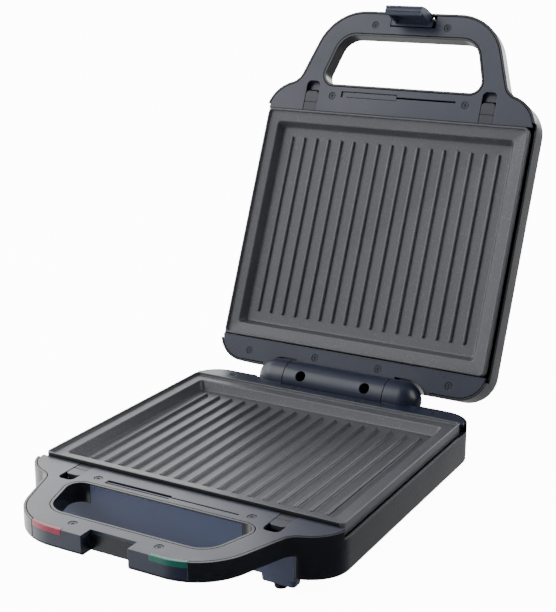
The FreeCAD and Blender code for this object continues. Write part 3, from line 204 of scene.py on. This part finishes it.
def make_smoothing():
    """Joins a CAD piece's loose triangles and shades it smooth except at real corners."""
    group = bpy.data.node_groups.new("join_and_smooth", "GeometryNodeTree")
    group.interface.new_socket("Geometry", in_out="INPUT", socket_type="NodeSocketGeometry")
    corner = group.interface.new_socket("Corner angle", in_out="INPUT", socket_type="NodeSocketFloat")
    corner.default_value = math.radians(28)
    group.interface.new_socket("Geometry", in_out="OUTPUT", socket_type="NodeSocketGeometry")
    start, end = group.nodes.new("NodeGroupInput"), group.nodes.new("NodeGroupOutput")
    link = group.links.new
    merge = add(group, "GeometryNodeMergeByDistance")
    merge.inputs["Distance"].default_value = 1e-6
    link(start.outputs[0], merge.inputs[0])
    smooth_faces = add(group, "GeometryNodeSetShadeSmooth", domain="FACE")
    link(merge.outputs[0], smooth_faces.inputs[0])
    angle = add(group, "GeometryNodeInputMeshEdgeAngle")
    sharp = add(group, "FunctionNodeCompare", data_type="FLOAT", operation="GREATER_THAN")
    link(angle.outputs["Unsigned Angle"], sharp.inputs[0])
    link(start.outputs[1], sharp.inputs[1])
    sharp_edges = add(group, "GeometryNodeSetShadeSmooth", domain="EDGE")
    sharp_edges.inputs["Shade Smooth"].default_value = False
    link(smooth_faces.outputs[0], sharp_edges.inputs[0])
    link(sharp.outputs[0], sharp_edges.inputs["Selection"])
    link(sharp_edges.outputs[0], end.inputs[0])
    return group


join_and_smooth = make_smoothing()


def dress(node, material):
    """Give a CAD piece its finish and smooth shading."""
    piece = frame["nodes"][node]
    piece.data.materials.clear()
    piece.data.materials.append(material)
    smoothing = piece.modifiers.new("Smooth", "NODES")
    smoothing.node_group = join_and_smooth


cover_black = finish_material("cover_gloss_black", "12141a", "191c23", "3a3e46", rough=0.24,
                              bump=0.02, wear=0.3, reach=0.5, Specular_IOR_Level=0.55)
for node in ("base_cover", "lid_cover"):
    dress(node, cover_black)


# Bezels and bottom tray ------------------------------------------------------------------
# The inner faces of both halves, with the hinge's cradle, knuckles and barrel, and the tray
# below: satin slate blue-grey mouldings with a fine spark-eroded grain. Screws hold the
# bezels to the covers and the tray to the base from below.
slate = finish_material("slate_satin", "171c2d", "20283c", "50576a", rough=0.32, grain=0.5,
                        bump=0.08, wear=0.35, reach=0.5, Specular_IOR_Level=0.65)
tray_slate = finish_material("tray_slate", "39415b", "454e69", "6a7184", rough=0.42, grain=0.6,
                             bump=0.1, wear=0.35, reach=0.5)
for node in ("base_bezel", "lid_bezel"):
    dress(node, slate)
dress("base_bottom", tray_slate)


# Grill plates ----------------------------------------------------------------------------
# Die-cast aluminium plates with a raised lip, a sunken pan and long ribs, sprayed with a
# speckled charcoal non-stick coating. They drop into the bezels under the sliding clips.

# A half is described face up: X to the right, Y from its plate's front edge back to the
# hinge, Z = 0 where the two plates meet. These two places carry it to the base or the lid.
front_lug_reach, axis_below_closing = 2.4, 2.9
hinge = next(joint for joint in frame["joints"] if joint["name"] == "lid_hinge")
hinge_point = Vector(hinge["pos_m"])
open_angle = math.radians(hinge["range_deg"][1])
plate_front_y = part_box("base_plate")[0].y + front_lug_reach * MM
closing_height = hinge_point.z + axis_below_closing * MM
base_place = Matrix.Translation((0, plate_front_y, closing_height)) @ Matrix.Scale(MM, 4)
lid_place = (Matrix.Translation(hinge_point) @ Matrix.Rotation(-open_angle, 4, "X")
             @ Matrix.Translation(-hinge_point)
             @ Matrix.Translation((0, 0, closing_height)) @ Matrix.Rotation(math.pi, 4, "Y")
             @ Matrix.Translation((0, plate_front_y, 0)) @ Matrix.Scale(MM, 4))


def ring(width, depth, inset, z, radius, steps=6):
    """Points of a rounded rectangle, set in from a plate's edge, at one height."""
    x = width / 2 - inset
    y0, y1 = inset, depth - inset
    points = []
    for cx, cy, start in ((x - radius, y0 + radius, -90), (x - radius, y1 - radius, 0),
                          (-x + radius, y1 - radius, 90), (-x + radius, y0 + radius, 180)):
        for step in range(steps + 1):
            angle = math.radians(start + 90 * step / steps)
            points.append(Vector((cx + radius * math.cos(angle), cy + radius * math.sin(angle), z)))
    return points


def skin(mesh, rings):
    """Faces between neighbouring rings, and a cap at both ends."""
    loops = [[mesh.verts.new(point) for point in points] for points in rings]
    for lower, upper in zip(loops, loops[1:]):
        for i in range(len(lower)):
            k = (i + 1) % len(lower)
            mesh.faces.new((lower[i], lower[k], upper[k], upper[i]))
    mesh.faces.new(list(reversed(loops[0])))
    mesh.faces.new(loops[-1])


def build(name, mesh, material):
    """Turn a closed bmesh into an object that is shaded smooth except at real corners."""
    bmesh.ops.recalc_face_normals(mesh, faces=mesh.faces)
    for face in mesh.faces:
        face.smooth = True
    corner = math.radians(35)
    for edge in mesh.edges:
        if len(edge.link_faces) == 2 and edge.calc_face_angle() > corner:
            edge.smooth = False
    data = bpy.data.meshes.new(name)
    mesh.to_mesh(data)
    mesh.free()
    data.materials.append(material)
    piece = bpy.data.objects.new(name, data)
    bpy.context.scene.collection.objects.link(piece)
    return piece


plate_width, plate_depth = 235.0, 199.5
plate_profile = [  # inset from the plate's edge, height, corner radius
    (11.2, -13.3, 2.5), (10.6, -13.2, 2.5), (10.2, -12.8, 2.5), (7.4, -5.9, 3), (6.9, -5.6, 3),
    (3.4, -5.6, 1.4), (3.1, -5.9, 1.4), (3.0, -9.0, 1.4), (2.7, -9.2, 1.6), (0.4, -9.2, 3.7),
    (0, -8.9, 4), (0, -0.7, 4), (0.1, -0.35, 3.9), (0.4, -0.2, 3.6), (1.15, -0.2, 2.9),
    (1.5, -0.35, 2.6), (1.6, -0.7, 2.5), (1.65, -2.1, 2.5), (1.9, -2.5, 2.4), (2.4, -2.6, 2.4),
    (9.9, -2.6, 3.2), (10.4, -2.7, 3.2), (10.75, -3.05, 3.2), (11.0, -3.6, 3.2),
    (13.3, -9.4, 2.8), (13.6, -9.95, 2.8), (14.1, -10.25, 2.6), (14.8, -10.3, 2.4)]
rib_count, rib_pitch, rib_front, rib_length, rib_foot = 17, 11.74, 21.4, 155.6, 3.4
rib_profile = [  # inset from the rib's foot, height
    (0.0, -10.8), (0.1, -10.2), (0.3, -9.2), (0.45, -8.75), (0.7, -8.35), (1.0, -8.1), (1.35, -8.0)]

coating = finish_material("nonstick_charcoal", "404146", "4c4d53", "9a9ca1", rough=0.38,
                          grain=0.35, bump=0.14, wear=0.4, reach=0.7, fleck=0.14, fleck_size=0.7,
                          rough_spread=0.05, Specular_IOR_Level=0.6)
# A glossy near-black finish for the plates' front walls only: painted shade where those walls sit in
# shadow above the bezel.
front_wall_shade = finish_material("plate_front_painted_shade", "141517", "1b1c1f", "4b4d52", rough=0.3, grain=0.35,
                            bump=0.1, wear=0.3, reach=0.5, rough_spread=0.05)


def make_rib_row():
    """Geometry Nodes tree: one rib, repeated at even steps across the pan, joined to the casting."""
    group = bpy.data.node_groups.new("rib_row", "GeometryNodeTree")
    socket = group.interface.new_socket
    socket("Casting", in_out="INPUT", socket_type="NodeSocketGeometry")
    socket("Rib", in_out="INPUT", socket_type="NodeSocketObject")
    socket("Count", in_out="INPUT", socket_type="NodeSocketInt")
    socket("Pitch", in_out="INPUT", socket_type="NodeSocketFloat")
    socket("Coating", in_out="INPUT", socket_type="NodeSocketMaterial")
    socket("Plate", in_out="OUTPUT", socket_type="NodeSocketGeometry")
    start, end = group.nodes.new("NodeGroupInput"), group.nodes.new("NodeGroupOutput")
    link = group.links.new
    step = add(group, "ShaderNodeCombineXYZ")
    link(start.outputs["Pitch"], step.inputs[0])
    less = add(group, "ShaderNodeMath", operation="SUBTRACT", in_1=1.0)
    link(start.outputs["Count"], less.inputs[0])
    span = add(group, "ShaderNodeMath", operation="MULTIPLY")
    link(less.outputs[0], span.inputs[0])
    link(start.outputs["Pitch"], span.inputs[1])
    half = add(group, "ShaderNodeMath", operation="MULTIPLY", in_1=-0.5)
    link(span.outputs[0], half.inputs[0])
    first = add(group, "ShaderNodeCombineXYZ")
    link(half.outputs[0], first.inputs[0])
    line = add(group, "GeometryNodeMeshLine", mode="OFFSET")
    link(start.outputs["Count"], line.inputs["Count"])
    link(first.outputs[0], line.inputs["Start Location"])
    link(step.outputs[0], line.inputs["Offset"])
    rib = add(group, "GeometryNodeObjectInfo", transform_space="ORIGINAL")
    link(start.outputs["Rib"], rib.inputs[0])
    place_ribs = add(group, "GeometryNodeInstanceOnPoints")
    link(line.outputs[0], place_ribs.inputs["Points"])
    link(rib.outputs["Geometry"], place_ribs.inputs["Instance"])
    real = add(group, "GeometryNodeRealizeInstances")
    link(place_ribs.outputs[0], real.inputs[0])
    join = add(group, "GeometryNodeJoinGeometry")
    link(real.outputs[0], join.inputs[0])
    link(start.outputs["Casting"], join.inputs[0])
    coat = add(group, "GeometryNodeSetMaterial")
    link(join.outputs[0], coat.inputs["Geometry"])
    link(start.outputs["Coating"], coat.inputs["Material"])
    link(coat.outputs[0], end.inputs[0])
    return group


def make_rib():
    """One rib in a plate's own millimetres: round-ended, tapering, with a softened crest."""
    mesh = bmesh.new()
    rings = []
    for side, z in rib_profile:
        half = rib_foot / 2 - side
        y0, y1 = rib_front + side + half, rib_front + rib_length - side - half
        points = []
        for cy, start in ((y0, 180), (y1, 0)):
            for i in range(9):
                angle = math.radians(start + 180 * i / 8)
                points.append(Vector((half * math.cos(angle), cy + half * math.sin(angle), z)))
        rings.append(points)
    skin(mesh, rings)
    return build("grill_rib", mesh, coating)


def apply_tree(piece, tree, **values):
    """Run a Geometry Nodes tree on a piece and keep the result as its plain mesh."""
    modifier = piece.modifiers.new("Tree", "NODES")
    modifier.node_group = tree
    identifiers = {item.name: item.identifier for item in tree.interface.items_tree
                   if item.in_out == "INPUT"}
    for label, value in values.items():
        modifier[identifiers[label]] = value
    evaluated = piece.evaluated_get(bpy.context.evaluated_depsgraph_get())
    data = bpy.data.meshes.new_from_object(evaluated)
    piece.modifiers.remove(modifier)
    piece.data = data
    return piece


rib_row = make_rib_row()
grill_rib = make_rib()
lug_height, lug_thickness = -8.35, 1.7
lugs = [  # the front lugs sit under the clips, the rear ones in the bezel: x, width, y from, y to
    (-79.8, 8, -front_lug_reach, 0.5), (79.8, 8, -front_lug_reach, 0.5),
    (-70, 12, 199, 202.1), (70, 12, 199, 202.1)]
for body, place in (("base", base_place), ("lid", lid_place)):
    casting = bmesh.new()
    skin(casting, [ring(plate_width, plate_depth, *step) for step in plate_profile])
    for x, width, y0, y1 in lugs:
        lug = bmesh.ops.create_cube(casting, size=1)["verts"]
        bmesh.ops.scale(casting, verts=lug, vec=(width, y1 - y0, lug_thickness))
        bmesh.ops.translate(casting, verts=lug, vec=(x, (y0 + y1) / 2, lug_height))
    plate = build(f"{body}_grill_plate", casting, coating)
    apply_tree(plate, rib_row, Rib=grill_rib, Count=rib_count, Pitch=rib_pitch, Coating=coating)
    # The front wall below the lip gets a glossier, blacker finish than the sprayed face. The black is
    # painted shade for the shadowed gap above the bezel.
    plate.data.materials.append(front_wall_shade)
    for face in plate.data.polygons:
        if face.center.y < 0.3 and abs(face.normal.z) < 0.6:
            face.material_index = 1
    plate.data.transform(place)
    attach(plate, body)
    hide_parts(f"{body}_plate")
bpy.data.objects.remove(grill_rib)


# Clips and latch -------------------------------------------------------------------------
# Slate clips slide forward to free the plates. The darker latch swings on its pin in the
# lid's handle and hooks under the lower handle.
latch_dark = finish_material("latch_dark_satin", "2b3140", "363d4e", "5a6273", rough=0.36,
                             wear=0.35, reach=0.5)
clip_slate = finish_material("clip_slate", "25272f", "2d3039", "565b67", rough=0.34, bump=0.06,
                             wear=0.35, reach=0.5)
for node in ("base_clip_left", "base_clip_right", "lid_clip_left", "lid_clip_right"):
    dress(node, clip_slate)
dress("latch", latch_dark)


# Lenses and lamps ------------------------------------------------------------------------
# Tinted polycarbonate strips in the lower handle's front edge, red for power and green for
# ready, held between cover and bezel. A small neon lamp stands behind each.
red = finish_material("lens_red", "7d0f2e", "951a3c", "b9506c", rough=0.3, wear=0.3,
                      Coat_Weight=0.1, Coat_Roughness=0.05)
green = finish_material("lens_green", "0d463c", "166053", "4f9c8d", rough=0.2, wear=0.3,
                        Coat_Weight=0.1, Coat_Roughness=0.05)
lamp_glass = finish_material("neon_lamp", "8f8a80", "aaa498", "d0ccc2", rough=0.1, Coat_Weight=0.6)
dress("red_lens", red)
dress("green_lens", green)
dress("indicator_lamps", lamp_glass)


# Feet and cord inlet ---------------------------------------------------------------------
# Soft rubber feet pressed into the bottom tray, and the matt black bushing in the back wall
# that grips a cord where it leaves.
rubber = finish_material("foot_rubber", "0a0a0b", "111112", "2c2c2d", rough=0.75, bump=0.2)
matt_black = finish_material("matt_black", "0c0c0d", "131314", "303032", rough=0.6)
dress("rubber_feet", rubber)
dress("cord_inlet", matt_black)


# Screws, pins and springs ----------------------------------------------------------------
# Small cross-head screws, blackened in the bezels and zinc-plated where they are hidden,
# zinc-plated steel pins for hinge and latch, and coiled steel wire springs.
blackened = finish_material("blackened_steel", "2a2c33", "383b43", "6a6e77", rough=0.36, wear=0.6,
                            reach=0.3, Metallic=0.4)
zinc = finish_material("zinc_steel", "6f7276", "8b8f94", "c9ccd0", rough=0.35, Metallic=1.0)
for node in ("base_bezel_screws", "lid_bezel_screws"):
    dress(node, blackened)
for node in ("bottom_screws", "barrel_screws", "hinge_pins", "latch_pin", "latch_spring",
             "base_clip_spring_left", "base_clip_spring_right",
             "lid_clip_spring_left", "lid_clip_spring_right"):
    dress(node, zinc)


# Heating parts ---------------------------------------------------------------------------
# Steel-sheathed tubular elements clamped to bright pressed reflector trays, with a steel
# thermostat, a thermal fuse in its pale sleeve and a ceramic terminal block.
sheath = finish_material("heater_sheath", "3a3532", "5a524b", "8a8078", rough=0.45, Metallic=0.8)
sheet = finish_material("bright_sheet", "8d9093", "a7aaac", "d5d7d8", rough=0.3, Metallic=1.0)
pale = finish_material("pale_insulator", "b9b3a4", "cdc8bb", "dedad0", rough=0.6)
for half in ("base", "lid"):
    dress(f"{half}_heating_element", sheath)
    dress(f"{half}_reflector", sheet)
    dress(f"{half}_element_clamps", sheet)
dress("thermostat", zinc)
dress("thermal_fuse", pale)
dress("terminal_block", pale)


# Table -----------------------------------------------------------------------------------
# A plain white studio table. The glossy parts of the press mirror the room instead of it, so
# that the covers' lower edges stay dark.
table_half = 15
table_glow = 12.0
table = bmesh.new()
bmesh.ops.create_grid(table, x_segments=1, y_segments=1, size=table_half)
table_data = bpy.data.meshes.new("table")
table.to_mesh(table_data)
table.free()
table_top = bpy.data.objects.new("table", table_data)
bpy.context.scene.collection.objects.link(table_top)
table_white = bpy.data.materials.new("table_white")
table_white.use_nodes = True
table_tree = table_white.node_tree
table_link = table_tree.links.new
# Seen directly the table is plain white. What it bounces back as soft light is duller.
bounce = table_tree.nodes["Principled BSDF"]
bounce.inputs["Base Color"].default_value = (0.8, 0.8, 0.8, 1)
bounce.inputs["Roughness"].default_value = 0.9
bounce.inputs["Specular IOR Level"].default_value = 0.0
seen_shade = add(table_tree, "ShaderNodeBsdfDiffuse", in_0=(1, 1, 1, 1))
seen_glow = add(table_tree, "ShaderNodeEmission", in_0=(1, 1, 1, 1), in_1=table_glow)
seen = add(table_tree, "ShaderNodeAddShader")
table_link(seen_shade.outputs[0], seen.inputs[0])
table_link(seen_glow.outputs[0], seen.inputs[1])
rays = add(table_tree, "ShaderNodeLightPath")
pick = add(table_tree, "ShaderNodeMixShader")
table_link(rays.outputs["Is Camera Ray"], pick.inputs[0])
table_link(bounce.outputs[0], pick.inputs[1])
table_link(seen.outputs[0], pick.inputs[2])
table_link(pick.outputs[0], table_tree.nodes["Material Output"].inputs[0])
table_data.materials.append(table_white)
table_top.visible_glossy = False


# Studio light ----------------------------------------------------------------------------
# A white backdrop, and a dim room with soft bright patches behind and above on the left. Two
# softboxes add light from overhead and from the front left.
room_dimness = 0.07
backdrop_strength = 13.0
bright_patches = [  # direction, cosines where the patch starts and where it is full, strength
    ((-0.42, 0.88, 0.2), 0.55, 0.92, 2.1), ((-0.95, 0.25, 0.25), 0.6, 0.95, 1.6),
    ((0.5, 0.84, 0.2), 0.75, 0.95, 3.0), ((0.8, 0.25, 0.55), 0.9, 0.99, 3.5),
    ((-0.6, -0.42, 0.68), 0.86, 0.96, 3.1), ((-0.8, -0.6, -0.1), 0.3, 0.95, 0.6)]
softboxes = [  # name, place, aim, width, watts
    ("overhead_softbox", (0.1, 0.1, 1.7), (0, 0.05, 0.1), 0.9, 0.8),
    ("front_left_softbox", (-0.9, -1.5, 0.7), (0, 0, 0.15), 0.9, 12)]
world = bpy.data.worlds.new("studio")
bpy.context.scene.world = world
world.use_nodes = True
sky = world.node_tree
sky_link = sky.links.new
direction = add(sky, "ShaderNodeTexCoord")
light_sum = None
for towards, begins, full, strength in bright_patches:
    facing = add(sky, "ShaderNodeVectorMath", operation="DOT_PRODUCT",
                 in_1=Vector(towards).normalized())
    sky_link(direction.outputs["Generated"], facing.inputs[0])
    patch = add(sky, "ShaderNodeMapRange", in_1=begins, in_2=full, in_3=0.0, in_4=strength)
    patch.interpolation_type = "SMOOTHSTEP"
    sky_link(facing.outputs["Value"], patch.inputs[0])
    total = add(sky, "ShaderNodeMath", operation="ADD", in_1=room_dimness)
    sky_link(patch.outputs[0], total.inputs[0])
    if light_sum:
        sky_link(light_sum, total.inputs[1])
    light_sum = total.outputs[0]
# Below the horizon it is bright towards the left, dim behind and black to the front.
split = add(sky, "ShaderNodeSeparateXYZ")
sky_link(direction.outputs["Generated"], split.inputs[0])
leftward = add(sky, "ShaderNodeMapRange", in_1=-0.2, in_2=-1.0, in_3=0.02, in_4=2.8)
leftward.interpolation_type = "SMOOTHSTEP"
sky_link(split.outputs[0], leftward.inputs[0])
backward = add(sky, "ShaderNodeMapRange", in_1=0.4, in_2=0.95, in_3=0.0, in_4=0.5)
sky_link(split.outputs[1], backward.inputs[0])
glow = add(sky, "ShaderNodeMath", operation="ADD")
sky_link(leftward.outputs[0], glow.inputs[0])
sky_link(backward.outputs[0], glow.inputs[1])
below = add(sky, "ShaderNodeMath", operation="LESS_THAN", in_1=0.0)
sky_link(split.outputs[2], below.inputs[0])
strength_here = add(sky, "ShaderNodeMix", data_type="FLOAT")
sky_link(below.outputs[0], strength_here.inputs[0])
sky_link(light_sum, strength_here.inputs[2])
sky_link(glow.outputs[0], strength_here.inputs[3])
room = sky.nodes["Background"]
room.inputs[0].default_value = (1, 1, 1, 1)
sky_link(strength_here.outputs[0], room.inputs[1])
backdrop = add(sky, "ShaderNodeBackground", in_0=(1, 1, 1, 1), in_1=backdrop_strength)
sky_rays = add(sky, "ShaderNodeLightPath")
sky_pick = add(sky, "ShaderNodeMixShader")
sky_link(sky_rays.outputs["Is Camera Ray"], sky_pick.inputs[0])
sky_link(room.outputs[0], sky_pick.inputs[1])
sky_link(backdrop.outputs[0], sky_pick.inputs[2])
sky_link(sky_pick.outputs[0], sky.nodes["World Output"].inputs[0])

for light_name, where, aim, width, power in softboxes:
    lamp_data = bpy.data.lights.new(light_name, "AREA")
    lamp_data.shape = "SQUARE"
    lamp_data.size = width
    lamp_data.energy = power
    lamp_object = bpy.data.objects.new(light_name, lamp_data)
    lamp_object.location = where
    lamp_object.rotation_euler = (Vector(aim) - Vector(where)).to_track_quat("-Z", "Y").to_euler()
    lamp_object.visible_glossy = light_name == "overhead_softbox"
    bpy.context.scene.collection.objects.link(lamp_object)


# Camera ----------------------------------------------------------------------------------
# It stands to the right in front of the press, a little above it, and looks slightly down.
camera_place = (0.434186, -0.796959, 0.395301)
azimuth, elevation, roll = (math.radians(angle) for angle in (28.998, 16.222, 0.334))
camera_data = bpy.data.cameras.new("camera")
camera_data.sensor_width = 36
camera_data.lens = 75.46
camera_data.clip_start = 0.05
camera_data.clip_end = 100
camera = bpy.data.objects.new("camera", camera_data)
forward = Vector((-math.sin(azimuth) * math.cos(elevation),
                  math.cos(azimuth) * math.cos(elevation), -math.sin(elevation)))
level_right = forward.cross(Vector((0, 0, 1))).normalized()
level_up = level_right.cross(forward)
right = level_right * math.cos(roll) + level_up * math.sin(roll)
up = level_up * math.cos(roll) - level_right * math.sin(roll)
facing_axes = Matrix((right, up, -forward)).transposed().to_4x4()
camera.matrix_world = Matrix.Translation(camera_place) @ facing_axes
bpy.context.scene.collection.objects.link(camera)
bpy.context.scene.camera = camera
